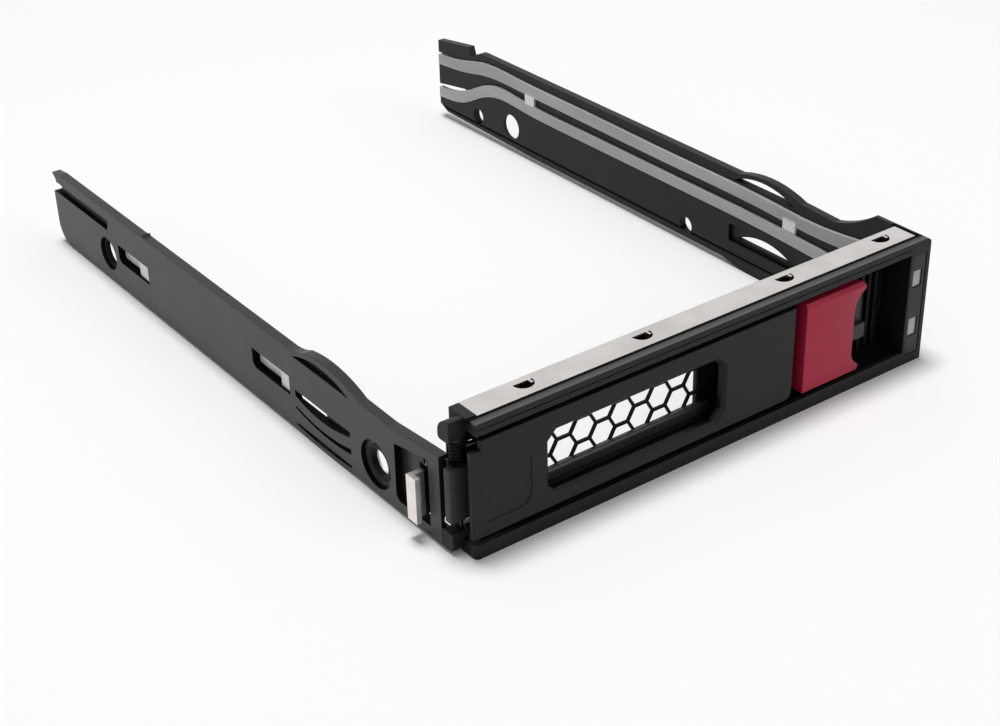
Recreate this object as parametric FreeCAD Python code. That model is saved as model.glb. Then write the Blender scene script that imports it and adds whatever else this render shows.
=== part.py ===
import FreeCAD, Part
from FreeCAD import Vector
import math
import os

os.makedirs("parts", exist_ok=True)

# Hot swap caddy for a 3.5 inch drive, all lengths in millimetres.
# X runs along the bezel from the hinge end, Y runs from the front face to the
# rear, Z runs up from the underside of the bezel.

# Bezel
bezel_width = 103.2
bezel_height = 25.6
bezel_depth = 7.3
bezel_left = -0.5
top_bar_height = 2.2
bottom_bar_height = 2.7
bottom_bar_left = -1.25
bottom_bar_corner = 0.9
bezel_corner = 1.1
top_bar_line = 0.2
back_wall = 0.8
back_wall_left = 8.5
post_front = 5.2
bezel_middle = bezel_width / 2

# Rails, whose heights follow the bezel
right_rail_wall = 1.7
right_rail_rear = 156.6
right_rail_low = 0.047 * bezel_height
right_rail_top = bezel_height - 4.2
left_rail_outer = -3.5
left_rail_wall = 1.9
left_rail_front = 6.4
left_rail_rear = 152.0
left_rail_low = 0.6
left_rail_top = 0.66 * bezel_height
screw_front_y = 25.6
screw_pitch = 101.6
screw_z = 6.4
screw_radius = 3.0
screw_countersink_radius = 4.6
rear_countersink_radius = 3.6
screw_countersink_depth = 0.9
bulge_front = 31.8
bulge_rear = 52.0
small_hole_radius = 1.9
rear_hole_inset = 16.1
middle_hole_y = 65.0

# Shield strip on the top bar
strip_front = 2.35
strip_left = 1.5
strip_right = bezel_width - 2.0
strip_thickness = 0.45
strip_overhang = 0.5
strip_skirt = 2.9
strip_bend = 0.6
strip_end_gap = 0.8
strip_side_gap = 0.1
tab_lefts = [11.2, 36.2, bezel_width - 34.1, bezel_width - 9.7]
tab_width = 3.9
tab_straight_side = 6.1
tab_round_side = 3.95
tab_depth = 1.1

# Lever
lever_left = -1.65
lever_right = bezel_width - 34.4
lever_low = bottom_bar_height + 1.4
lever_high = bezel_height - top_bar_height - 1.0
lever_depth = 4.6
lever_face = 1.7
lever_edge = 0.95
lever_edge_width = 2.45
lever_wall = 1.3
lever_corner = 1.6
lever_notch_x = 1.95
lever_notch_z = 1.8
lever_ribs = [10.6, bezel_middle - 19.6, lever_right - 12.8]
lever_rib_thickness = 1.0
vent_left = 14.05
vent_right = lever_right - 16.65
vent_low = lever_low + 2.1
vent_high = lever_high - 4.1
vent_corner = 1.7
vent_bevel = 0.7
pad_left = 1.2
pad_right = 10.3
pad_low = lever_low + 2.4
pad_high = lever_high - 6.9
pad_corner = 2.6
pad_recess = 0.15

# Vent mesh
mesh_window_left = vent_left - 0.65
mesh_window_right = vent_right - 0.55
mesh_window_low = bottom_bar_height + 1.7
mesh_window_high = bezel_height - top_bar_height - 2.8
mesh_overlap = 1.0
mesh_thickness = 0.5
mesh_web = 0.5
mesh_border = 1.4
hexagon_side = 2.81
hexagon_start_x = vent_left + 3.31
hexagon_start_z = vent_low + 0.62

# Hinge
hinge_x = -1.0
hinge_y = 4.7
hinge_pin_radius = 0.6
hinge_pin_foot = 0.8
hinge_running_gap = 0.05
hinge_seat_gap = 0.01
lug_front = 3.3
lug_rear = left_rail_front - 0.1
lug_corner = 0.6
upper_lug_slope = 2.9
lug_boss_radius = 1.3
lug_boss_height = 0.6
upper_lug_low = lever_high - 0.8
upper_lug_high = bezel_height - 0.1
lower_lug_low = 0.7
lower_lug_high = bottom_bar_height + 1.5
knuckle_low = lever_low + 2.0
knuckle_high = lever_high - 5.2
knuckle_front = 3.5
knuckle_right = 0.3
knuckle_root = 3.0

# Springs, wound from wire with a few flat sides
spring_wire_sides = 6
spring_turn_steps = 14

# Hinge spring
hinge_spring_wire = 0.6
hinge_spring_radius = 1.1
hinge_spring_low = knuckle_high + 0.45
hinge_spring_turns = 4.5
hinge_spring_pitch = 0.65
hinge_spring_reach = 6.5

# Claw
claw_thickness = 1.05
claw_gap = 0.45
claw_arm_outer = left_rail_outer + left_rail_wall - claw_gap
claw_low = bottom_bar_height + 1.3
claw_high = knuckle_high - 0.8
claw_base_front = 6.2
claw_base_right = 6.4
claw_reach = 2.5
claw_tip_x = left_rail_outer - claw_reach
claw_tip_front = 9.8
claw_tip_rear = 12.4
claw_tip_low = claw_low - 0.2
claw_tip_high = claw_high - 3.9
claw_base_low = claw_low + 1.4
claw_rivet_x = 3.6
claw_rivet_low = claw_low + 3.6
claw_rivet_pitch = claw_high - claw_low - 6.6
claw_rivet_radius = 0.9
claw_rivet_front = 2.8
rivet_fit_gap = 0.01

# Release button
button_gap = 2.95
button_left = lever_right + button_gap
button_waist = button_left + 12.25
button_flare_top = button_waist + 2.5
button_flare_low = button_waist + 1.8
button_low = lever_low - 0.2
button_high = lever_high - 0.4
button_face = 1.6
button_depth = 3.2
button_wall = 1.1
button_bevel = 0.8
button_leg_left = button_left + 2.75
button_leg_right = button_left + 7.75
button_guide_gap = 0.25

# Tongue of the lever that carries the button
tongue_front = button_depth + 0.3
tongue_thickness = 1.1
tongue_right = button_left + 9.25
tongue_low = button_low + 2.3
tongue_high = button_high - 2.0

# Latch plate on the button and its keeper on the bezel
latch_front = button_face + 0.1
latch_thickness = 0.8
latch_left = button_left + 4.25
latch_right = button_waist + 0.5
latch_low = tongue_low + 4.4
latch_high = button_high - 4.4
latch_nose_tip = button_waist + 2.4
latch_nose_low = latch_low + 1.8
latch_nose_high = latch_high - 2.0
latch_nose_rear = 6.0
keeper_left = latch_nose_tip + 0.4
keeper_right = keeper_left + 3.4
keeper_front = 4.2
keeper_low = latch_low - 2.6
keeper_high = latch_high + 1.4
keeper_block_front = 2.9
keeper_block_high = keeper_low + 3.0

# Button return spring
button_spring_wire = 0.25
button_spring_radius = 0.6
button_spring_y = 2.55
button_spring_z = tongue_low + 2.3
button_spring_left = button_left + 3.25
button_spring_length = 5.9
button_spring_turns = 7
spring_seat_size = 1.6
spring_seat_thickness = 0.8
spring_end_gap = 0.1

# Indicator end of the bezel
divider_left = bezel_width - 5.1
divider_thickness = 0.7
panel_right = bezel_width - 0.9
panel_low = 1.9
panel_high = bezel_height - top_bar_height - 0.5
panel_front = 0.1
panel_thickness = 0.9
panel_corner = 1.0
panel_gap = 0.08
indicator_left = divider_left + 1.1
indicator_right = bezel_width - right_rail_wall
upper_indicator = (bezel_height - 9.45, bezel_height - 5.95)
lower_indicator = (5.8, 9.6)
indicator_front = 0.35
recess_rib_pitch = 1.8
recess_rib_thickness = 0.7
recess_rib_height = 0.9

# Light pipes, as stations of depth, lower edge and upper edge; the edges are
# shares of the bezel height and the first six depths run back from the rail's rear
pipe_cover = 1.05
pipe_thickness = 1.2
pipe_outer = bezel_width - pipe_cover
pipe_inner = pipe_outer - pipe_thickness
pipe_groove_gap = 0.12
pipe_head_rear = 7.2
pipe_root = 7.0
upper_pipe = [
    (right_rail_rear - 0.7, 0.547, 0.645),
    (right_rail_rear - 5.1, 0.559, 0.656),
    (right_rail_rear - 11.6, 0.586, 0.699),
    (right_rail_rear - 18.1, 0.633, 0.754),
    (right_rail_rear - 24.6, 0.660, 0.773),
    (right_rail_rear - 31.6, 0.660, 0.766),
    (100.0, 0.652, 0.758),
    (70.0, 0.645, 0.746),
    (40.0, 0.637, 0.738),
    (30.0, 0.621, 0.723),
    (22.0, 0.625, 0.734),
    (14.0, 0.641, 0.766),
    (pipe_root, 0.637, 0.762),
]
lower_pipe = [
    (right_rail_rear - 0.6, 0.215, 0.313),
    (right_rail_rear - 5.1, 0.227, 0.324),
    (right_rail_rear - 11.1, 0.273, 0.387),
    (right_rail_rear - 18.0, 0.402, 0.520),
    (right_rail_rear - 24.6, 0.480, 0.594),
    (right_rail_rear - 33.9, 0.477, 0.582),
    (100.0, 0.465, 0.566),
    (70.0, 0.465, 0.563),
    (40.0, 0.461, 0.559),
    (28.0, 0.441, 0.543),
    (21.0, 0.406, 0.520),
    (13.0, 0.285, 0.418),
    (pipe_root, 0.234, 0.367),
]
pipe_bridge_fronts = [right_rail_rear - 39.2, 32.4]
pipe_bridge_width = 3.5
pipe_bridge_low = 0.531 * bezel_height
pipe_bridge_high = 0.680 * bezel_height

# Foot of the left rail, staked to the rear of the bottom bar
arm_pocket_depth = 0.75
arm_pocket_rear = claw_tip_rear + 1.8
rail_notch_low = lower_lug_high - 0.1
rail_notch_high = knuckle_low
rail_notch_depth = 1.2
rail_notch_skin = 0.75
thin_wall = 0.9
foot_right = 16.0
foot_high = bottom_bar_height - 0.4
foot_thickness = 1.4
foot_sink = 0.7
stake_radius = 0.7
stake_inset = 3.5
stake_pitch = 7.0

# Windows of the left rail and the steel contact strips inside them
window_length = 13.3
window_height = 3.9
rear_window_front = 108.6
rear_window_low = 6.6
middle_window_front = 53.6
middle_window_low = 6.9
contact_thickness = 0.35
contact_low = 6.9
contact_high = 11.2
contact_step = 8.7
bracket_front = 20.2
bracket_rear = 39.0
bracket_low = 2.2
bracket_high = screw_z + 4.2
bracket_tongue_front = claw_tip_rear + 2.4
bracket_tab_high = 0.645 * bezel_height
bush_radius = screw_radius + 0.4
bush_gap = 0.05

strip_rear = bezel_depth + strip_overhang
right_rail_inner = bezel_width - right_rail_wall
left_rail_inner = left_rail_outer + left_rail_wall
hexagon_pitch_x = 1.5 * hexagon_side
hexagon_pitch_z = 3 ** 0.5 * hexagon_side
mesh_front = bezel_depth - back_wall - mesh_thickness - 0.1
back_wall_front = bezel_depth - back_wall
top_bar_low = bezel_height - top_bar_height
foot_front = bezel_depth - foot_sink
over = 1.0

normals = {"yz": Vector(1, 0, 0), "xz": Vector(0, 1, 0), "xy": Vector(0, 0, 1)}


def place(plane, u, v, w):
    """Point at u, v of a plane that stands w along its normal."""
    if plane == "yz":
        return Vector(w, u, v)
    if plane == "xz":
        return Vector(u, w, v)
    return Vector(u, v, w)


def block(x0, x1, y0, y1, z0, z1):
    return Part.makeBox(x1 - x0, y1 - y0, z1 - z0, Vector(x0, y0, z0))


def rod(radius, start, axis, length):
    return Part.makeCylinder(radius, length, Vector(*start), Vector(*axis))


def outline(plane, steps, w):
    """Closed wire; a step of two numbers is a corner, one of four adds an arc through a point."""
    edges = []
    last = steps[-1][-2:]
    for step in steps:
        start = place(plane, *last, w)
        end = place(plane, *step[-2:], w)
        if len(step) == 4:
            edges.append(Part.Arc(start, place(plane, *step[:2], w), end).toShape())
        else:
            edges.append(Part.makeLine(start, end))
        last = step[-2:]
    return Part.Wire(edges)


def plate(plane, steps, w0, w1):
    return Part.Face(outline(plane, steps, w0)).extrude(normals[plane] * (w1 - w0))


def chamfered(u0, u1, v0, v1, cut):
    """Corners of a rectangle whose four corners are cut off."""
    return [
        (u0 + cut, v0), (u1 - cut, v0), (u1, v0 + cut), (u1, v1 - cut),
        (u1 - cut, v1), (u0 + cut, v1), (u0, v1 - cut), (u0, v0 + cut),
    ]


def lens(start, end, flat, crown):
    """Straight lower edge under one arc."""
    return [(start, flat), ((start + end) / 2, crown, end, flat)]


def window(front, low):
    """Contact window of the left rail, with one corner cut off."""
    rear = front + window_length
    return [
        (front, low), (rear - 0.9, low), (rear, low + 0.8), (rear, low + window_height), (front, low + window_height),
    ]


def ribbon(stations, margin, x0, x1):
    """Band that follows smooth lower and upper edges through its stations."""
    unit = bezel_height
    low = [Vector(x0, y, share * unit - margin) for y, share, top in stations]
    high = [Vector(x0, y, share * unit + margin) for y, bottom, share in stations]
    lower = Part.BSplineCurve()
    lower.interpolate(low)
    upper = Part.BSplineCurve()
    upper.interpolate(high)
    edges = [
        lower.toShape(),
        Part.makeLine(low[-1], high[-1]),
        upper.toShape(),
        Part.makeLine(high[0], low[0]),
    ]
    face = Part.Face(Part.Wire(Part.sortEdges(edges)[0]))
    return face.extrude(Vector(x1 - x0, 0, 0))


def coil(radius, wire, pitch, turns, base, axis):
    """Wire wound on a helix that starts at base and climbs along axis, in short straight steps."""
    sections = []
    for step in range(round(turns * spring_turn_steps) + 1):
        turn = 2 * math.pi * step / spring_turn_steps
        climb = pitch * step / spring_turn_steps
        corners = []
        for side in range(spring_wire_sides):
            angle = 2 * math.pi * (side + 0.5) / spring_wire_sides
            reach = radius + wire / 2 * math.cos(angle)
            corners.append(Vector(reach * math.cos(turn), reach * math.sin(turn), climb + wire / 2 * math.sin(angle)))
        sections.append(Part.makePolygon(corners + corners[:1]))
    body = Part.makeLoft(sections, True, True)
    body.Placement = FreeCAD.Placement(Vector(*base), FreeCAD.Rotation(Vector(0, 0, 1), Vector(*axis)))
    return body


# Bezel frame with the right rail
def tab_outline(left, margin):
    right = left + tab_width + margin
    middle = left + tab_width / 2
    return [
        (left - margin, tab_straight_side + margin),
        (middle, tab_round_side - margin, right, tab_straight_side + margin),
    ]


def bars():
    top = block(bezel_left, bezel_width, 0, bezel_depth, top_bar_low, bezel_height)
    corner = bottom_bar_corner
    bottom = plate("xy", [
        (bezel_width, 0), (bezel_width, bezel_depth), (bottom_bar_left, bezel_depth),
        (bottom_bar_left, corner), (bottom_bar_left + 0.3 * corner, 0.3 * corner, bottom_bar_left + corner, 0),
    ], 0, bottom_bar_height)
    wall = block(back_wall_left, divider_left, back_wall_front, bezel_depth, bottom_bar_height, top_bar_low)
    post = block(
        back_wall_left, back_wall_left + 2.2, post_front, back_wall_front, bottom_bar_height, top_bar_low,
    )
    return top.fuse([bottom, wall, post])


def lug(low, high, slope):
    """Hinge lug beside the end of a bar, flush with the left rail and rounded towards its rear."""
    corner = lug_corner
    fall = 0.83 * slope
    steps = [
        (lug_front + 0.4, low), (lug_rear - corner, low),
        (lug_rear - 0.3 * corner, low + 0.3 * corner, lug_rear, low + corner), (lug_rear, high - slope),
        (lug_rear - 0.26 * fall, high - 0.3 * slope, lug_rear - fall, high),
        (lug_front, high), (lug_front, low + 0.4),
    ]
    return plate("yz", steps, left_rail_outer, bezel_left + 0.3)


def rounded_edge(corner):
    """What a round takes off the upper right edge of the bezel."""
    x = bezel_width - corner
    z = bezel_height - corner
    edge = block(x, bezel_width + over, -over, right_rail_rear, z, bezel_height + over)
    return edge.cut(rod(corner, (x, -over, z), (0, 1, 0), right_rail_rear + over))


def indicator_cuts():
    """Seat of the panel and the room behind it for the pipe ends."""
    left = divider_left + divider_thickness
    rear = panel_front + panel_thickness
    room = block(left, right_rail_inner, rear, bezel_depth + over, bottom_bar_height, panel_high - 0.5)
    seat = plate("xz", panel_outline(left, panel_right, panel_low, panel_high), -over, rear)
    return [room, seat]


def panel_outline(left, right, low, high):
    corner = panel_corner
    return [
        (left, low), (right, low), (right, high), (left + corner, high),
        (left + 0.3 * corner, high - 0.3 * corner, left, high - corner),
    ]


def right_rail_blank():
    top = right_rail_top
    low = right_rail_low
    rear = right_rail_rear
    middle = (bulge_front + bulge_rear) / 2
    steps = [
        (0, 0), (0, bezel_height), (bezel_depth + 5.3, bezel_height),
        (bezel_depth + 9.2, top + 1.6, bezel_depth + 15.2, top - 0.8), (bulge_front, top - 0.4),
        (middle, top + 1.3, bulge_rear - 2.5, top), (rear - 18.4, top),
        (rear - 17.0, top - 0.3, rear - 15.6, top - 1.7), (rear - 13.6, top - 1.7), (rear - 12.9, top + 0.2),
        (rear, top - 1.6), (rear, low + 2.2), (rear - 3.0, low + 0.7),
        (rear - 36.6, low), (bulge_rear + 1.5, low),
        (middle + 0.6, 0, bulge_front, low), (bezel_depth + 6.7, low), (bezel_depth + 3.7, 0),
    ]
    return plate("yz", steps, right_rail_inner, bezel_width)


def right_rail_cuts():
    rear = right_rail_rear
    unit = bezel_height
    inside = right_rail_inner - over
    outside = bezel_width + over
    groove = pipe_outer + pipe_groove_gap
    middle = (bulge_front + bulge_rear) / 2
    pocket = chamfered(bulge_front - 0.8, bulge_rear - 0.3, 0.219 * unit, 0.371 * unit, 0.3)
    cuts = [
        plate("yz", [
            (rear - 7.4, 0.668 * unit), (rear + over, 0.656 * unit),
            (rear + over, 0.540 * unit), (rear - 7.4, 0.556 * unit),
        ], inside, outside),
        plate("yz", [
            (rear - 11.0, 0.402 * unit), (rear + over, 0.330 * unit),
            (rear + over, 0.203 * unit), (rear - 11.0, 0.250 * unit),
        ], inside, outside),
        ribbon(upper_pipe, pipe_groove_gap, inside, groove),
        ribbon(lower_pipe, pipe_groove_gap, inside, groove),
        plate("yz", lens(bulge_rear - 1.0, bulge_front + 1.7, 0.766 * unit, 0.848 * unit), inside, outside),
        plate("yz", pocket, inside, right_rail_inner + 0.8),
        plate("yz", lens(bulge_rear - 2.2, bulge_front + 2.2, 0.254 * unit, 0.336 * unit), inside, outside),
    ]
    for front in pipe_bridge_fronts:
        back = front + pipe_bridge_width
        low = pipe_bridge_low
        high = pipe_bridge_high
        cuts.append(block(inside, groove, front - 0.1, back + 0.1, low - 0.1, high + 0.1))
    for y, z in ((rear - rear_hole_inset, 0.191 * unit), (middle_hole_y, 0.156 * unit)):
        cuts.append(rod(small_hole_radius, (inside, y, z), (1, 0, 0), outside - inside))
    for y in (screw_front_y, screw_front_y + screw_pitch):
        sink = bezel_width - screw_countersink_depth
        cuts.append(rod(screw_radius, (inside, y, screw_z), (1, 0, 0), outside - inside))
        cuts.append(rod(screw_countersink_radius, (sink, y, screw_z), (1, 0, 0), outside - sink))
    return cuts


def recess_ribs():
    ribs = []
    front = back_wall_front - recess_rib_height
    for number in range(3):
        x = divider_left - 6.5 + number * recess_rib_pitch
        ribs.append(block(x, x + recess_rib_thickness, front, back_wall_front, bottom_bar_height, top_bar_low))
    return ribs


def bezel_frame():
    body = bars().fuse([
        lug(upper_lug_low, upper_lug_high, upper_lug_slope),
        lug(lower_lug_low, lower_lug_high, lug_corner),
        rod(
            lug_boss_radius, (hinge_x, hinge_y, upper_lug_low - lug_boss_height), (0, 0, 1), lug_boss_height + 0.5,
        ),
        block(divider_left, bezel_width, 0, bezel_depth, 0, bezel_height),
        right_rail_blank(),
    ] + recess_ribs())
    strip_floor = bezel_height - strip_thickness
    high = bezel_height + over
    rear = bezel_depth + over
    cuts = [
        block(
            strip_left - strip_side_gap, strip_right + strip_end_gap, strip_front - strip_side_gap, rear,
            strip_floor, high,
        ),
        block(
            mesh_window_left, mesh_window_right, back_wall_front - over, rear, mesh_window_low, mesh_window_high,
        ),
        rod(
            hinge_pin_radius + hinge_seat_gap, (hinge_x, hinge_y, -over), (0, 0, 1),
            upper_lug_high - 1.3 + over,
        ),
        rounded_edge(bezel_corner),
        block(bezel_left - over, divider_left, -over, top_bar_line, top_bar_low + 1.0, top_bar_low + 1.2),
        block(left_rail_outer - over, foot_right + 0.2, foot_front, rear, -over, foot_high + 0.1),
        block(left_rail_outer - over, foot_right + 0.2, foot_front, rear, foot_high, bottom_bar_height + 0.1),
    ]
    for left in tab_lefts:
        cuts.append(plate("xy", tab_outline(left, 0.25), strip_floor - tab_depth - 0.1, high))
    body = body.cut(cuts + indicator_cuts() + right_rail_cuts())
    stakes = []
    for x in stake_places():
        centre = (left_rail_low + foot_high) / 2
        stakes.append(rod(stake_radius, (x, foot_front - 0.5, centre), (0, 1, 0), foot_thickness + 0.5))
    return body.fuse(stakes).removeSplitter()


def stake_places():
    right = foot_right - stake_inset
    return [right - stake_pitch, right]


# Left rail
def left_rail_blank():
    top = left_rail_top
    low = left_rail_low
    rear = left_rail_rear
    middle = (bulge_front + bulge_rear) / 2
    steps = [
        (left_rail_front, low), (left_rail_front, top + 0.8), (left_rail_front + 6.6, top + 0.3),
        (left_rail_front + 14.6, top - 0.4), (bulge_front - 1.8, top - 0.2),
        (middle - 2.2, top + 2.0, bulge_rear - 4.5, top + 1.35),
        (bulge_rear - 2.2, top + 0.45, bulge_rear + 0.6, top),
        (rear - 42.9, top), (rear - 42.5, top + 0.5), (rear - 41.9, top),
        (rear - 4.0, top), (rear - 0.2, top - 0.5), (rear - 1.7, top - 1.7), (rear - 1.7, 0.469 * bezel_height),
        (rear, 0.469 * bezel_height), (rear, low + 4.0), (rear - 1.3, low + 1.2, rear - 4.6, low),
        (bulge_rear + 0.5, low), (middle + 0.4, 0, bulge_front + 0.2, low),
    ]
    return plate("yz", steps, left_rail_outer, left_rail_inner)


def left_rail_cuts():
    unit = bezel_height
    front = bulge_front + 1.7
    rear = bulge_rear - 0.3
    middle = (front + rear) / 2
    end = left_rail_rear
    outside = left_rail_outer - over
    inside = left_rail_inner + over
    outlines = [
        lens(bulge_rear - 0.2, bulge_front + 1.4, 0.617 * unit, 0.691 * unit),
        [
            (front, 0.348 * unit), (front, 0.309 * unit), (middle, 0.250 * unit, rear, 0.297 * unit),
            (rear, 0.348 * unit),
        ],
        [
            (front, 0.168 * unit), (middle, 0.146 * unit, rear + 0.1, 0.195 * unit), (rear + 0.1, 0.215 * unit),
            (middle, 0.172 * unit, front, 0.211 * unit),
        ],
        [
            (front, 0.074 * unit), (front + 0.3, 0.055 * unit), (middle, 0.037 * unit, rear - 0.1, 0.055 * unit),
            (rear + 0.3, 0.074 * unit),
        ],
        window(rear_window_front, rear_window_low),
        window(middle_window_front, middle_window_low),
        [
            (9.5, 0.102 * unit), (18.7, 0.102 * unit), (19.6, 0.137 * unit), (19.4, 0.539 * unit),
            (9.5, 0.609 * unit),
        ],
    ]
    cuts = [plate("yz", steps, outside, inside) for steps in outlines]
    cuts.append(plate("yz", [
        (end - 26.6, 0.570 * unit), (end - 25.8, 0.473 * unit), (end + over, 0.473 * unit),
        (end + over, 0.570 * unit),
    ], outside, left_rail_outer + 1.1))
    cuts.append(block(
        left_rail_inner - arm_pocket_depth, inside, 0, arm_pocket_rear, claw_low - 0.5, claw_high + 0.5,
    ))
    cuts.append(block(
        left_rail_outer + rail_notch_skin, inside, left_rail_front - over, left_rail_front + rail_notch_depth,
        rail_notch_low, rail_notch_high,
    ))
    thin = left_rail_outer + thin_wall
    low = 0.617 * unit
    cuts.append(plate("yz", [
        (bulge_front + 0.4, low - 1.4), (bulge_front + 0.4, low + 0.2),
        (middle, 0.705 * unit, bulge_rear + 0.6, low + 0.2), (bulge_rear + 0.6, low - 1.4),
    ], thin, inside))
    cuts.append(block(thin, inside, front - 1.0, rear + 1.0, 0.235 * unit, 0.365 * unit))
    sink = left_rail_outer + screw_countersink_depth
    for y, radius in (
        (screw_front_y, screw_countersink_radius), (screw_front_y + screw_pitch, rear_countersink_radius),
    ):
        cuts.append(rod(screw_radius, (outside, y, screw_z), (1, 0, 0), inside - outside))
        cuts.append(rod(radius, (outside, y, screw_z), (1, 0, 0), sink - outside))
    cuts.append(rod(bush_radius + bush_gap, (outside, screw_front_y, screw_z), (1, 0, 0), inside - outside))
    return cuts


def left_rail():
    """Rail with its foot, which is staked into the rear of the bottom bar."""
    foot = block(
        left_rail_inner - 1, foot_right, foot_front, foot_front + foot_thickness, left_rail_low, foot_high,
    )
    centre = (left_rail_low + foot_high) / 2
    holes = []
    for x in stake_places():
        holes.append(rod(stake_radius + 0.02, (x, foot_front - over, centre), (0, 1, 0), foot_thickness + 2 * over))
    rail = left_rail_blank().cut(left_rail_cuts())
    return rail.fuse(foot.cut(holes)).removeSplitter()


# Shield strip
def top_strip():
    low = bezel_height - strip_thickness
    high = bezel_height
    skirt = bezel_height - strip_skirt
    inner = strip_rear - strip_thickness
    bend = strip_bend
    steps = [
        (strip_front, low), (strip_front, high), (strip_rear - bend, high),
        (strip_rear - 0.3 * bend, high - 0.3 * bend, strip_rear, high - bend),
        (strip_rear, skirt), (inner, skirt), (inner, low),
    ]
    body = plate("yz", steps, strip_left, strip_right)
    tabs = []
    front = (tab_straight_side + tab_round_side) / 2 + 0.175
    for left in tab_lefts:
        body = body.cut(plate("xy", tab_outline(left, 0), low - over, high + over))
        right = left + tab_width
        tabs.append(block(right - 0.75, right - 0.3, front, tab_straight_side + 0.1, low - tab_depth, high - 0.1))
    return body.fuse(tabs).removeSplitter()


# Vent mesh
def hexagon(x, z):
    reach = hexagon_side - mesh_web / 3 ** 0.5
    rise = reach * 3 ** 0.5 / 2
    corners = [
        (x + reach, z), (x + reach / 2, z + rise), (x - reach / 2, z + rise),
        (x - reach, z), (x - reach / 2, z - rise), (x + reach / 2, z - rise),
    ]
    return plate("xz", corners, mesh_front - over, mesh_front + mesh_thickness + over)


def vent_mesh():
    """Sheet perforated with hexagons inside a plain border."""
    left = mesh_window_left - mesh_overlap
    right = mesh_window_right + mesh_overlap
    low = mesh_window_low - mesh_overlap
    high = mesh_window_high + mesh_overlap
    rear = mesh_front + mesh_thickness
    sheet = block(left, right, mesh_front, rear, low, high)
    field = block(
        left + mesh_border, right - mesh_border, mesh_front - over, rear + over,
        low + mesh_border, high - mesh_border,
    )
    columns = math.ceil((right - mesh_border - hexagon_start_x) / hexagon_pitch_x)
    rows = math.ceil((high - mesh_border - hexagon_start_z) / hexagon_pitch_z)
    holes = []
    for column in range(columns):
        x = hexagon_start_x + column * hexagon_pitch_x
        shift = hexagon_pitch_z / 2 * (column % 2)
        for row in range(-1, rows + 1):
            holes.append(hexagon(x, hexagon_start_z + shift + row * hexagon_pitch_z))
    pattern = Part.makeCompound(holes).common(field)
    return sheet.cut(pattern)


# Lever
def knuckle():
    """Barrel of the lever that turns on the hinge pin, with the web that carries it."""
    radius = hinge_y - knuckle_front
    right = knuckle_right + knuckle_root
    barrel = rod(radius, (hinge_x, hinge_y, knuckle_low), (0, 0, 1), knuckle_high - knuckle_low)
    arm = block(hinge_x, right, hinge_y, hinge_y + radius, knuckle_low, knuckle_high)
    web = block(knuckle_right, right, lever_face - 0.7, hinge_y + radius, knuckle_low, knuckle_high)
    return barrel.fuse([arm, web])


def lever_shell():
    corner = lever_corner
    notch_x = lever_left + lever_notch_x
    notch_z = lever_high - lever_notch_z
    steps = [
        (lever_left, lever_low), (lever_right - corner, lever_low),
        (lever_right - 0.3 * corner, lever_low + 0.3 * corner, lever_right, lever_low + corner),
        (lever_right, lever_high), (notch_x, lever_high), (notch_x, notch_z), (lever_left, notch_z),
    ]
    body = plate("xz", steps, 0, lever_depth)
    rear = lever_depth + over
    hollow = block(
        lever_left + lever_edge_width, lever_right - lever_wall, lever_face, rear,
        lever_low + lever_wall, lever_high - lever_wall,
    )
    clear = block(
        lever_left - over, lever_left + lever_edge_width, lever_edge, rear, lever_low - over, lever_high + over,
    )
    return body.cut([hollow, clear])


def lever_stiffeners():
    ribs = []
    front = lever_face - 0.7
    for x in lever_ribs:
        if vent_left - 1 < x < vent_right + 1:
            low = vent_high + 0.6
            rear = lever_depth - 1.0
        else:
            low = lever_low + 0.5
            rear = lever_depth
        ribs.append(block(x, x + lever_rib_thickness, front, rear, low, lever_high - 0.5))
    return ribs


def claw_boss():
    """Pad behind the face to which the claw is riveted."""
    return block(
        knuckle_right + 1.0, claw_base_right, lever_face - 0.7, claw_base_front, claw_low + 2.2, claw_high - 1.0,
    )


def button_tongue():
    arm = block(
        lever_right - lever_wall - 0.5, tongue_right, tongue_front, tongue_front + tongue_thickness,
        tongue_low, tongue_high,
    )
    half = spring_seat_size / 2
    seat = block(
        button_spring_left - spring_seat_thickness, button_spring_left, button_face + 0.2, tongue_front + 0.1,
        button_spring_z - half, button_spring_z + half,
    )
    return arm.fuse(seat)


def lever():
    body = lever_shell().fuse(lever_stiffeners() + [knuckle(), claw_boss(), button_tongue()])
    vent = chamfered(vent_left, vent_right, vent_low, vent_high, vent_corner)
    grow = vent_bevel
    wide = chamfered(vent_left - grow, vent_right + grow, vent_low - grow, vent_high + grow, vent_corner + 0.4)
    bevel = Part.makeLoft([outline("xz", wide, 0), outline("xz", vent, vent_bevel)], True, True)
    corner = pad_corner
    pad = plate("xz", [
        (pad_left, pad_low), (pad_right - corner, pad_low),
        (pad_right - 0.3 * corner, pad_low + 0.3 * corner, pad_right, pad_low + corner),
        (pad_right, pad_high), (pad_left, pad_high),
    ], -over, pad_recess)
    cuts = [
        plate("xz", vent, -over, lever_depth + over),
        bevel,
        pad,
        rod(hinge_pin_radius + hinge_running_gap, (hinge_x, hinge_y, 0), (0, 0, 1), bezel_height),
    ] + rivet_holes(claw_rivet_front - 0.2)
    return body.cut(cuts).removeSplitter()


def rivet_holes(front):
    holes = []
    for z in (claw_rivet_low, claw_rivet_low + claw_rivet_pitch):
        length = claw_base_front + claw_thickness + over - front
        holes.append(rod(claw_rivet_radius + rivet_fit_gap, (claw_rivet_x, front, z), (0, 1, 0), length))
    return holes


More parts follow.
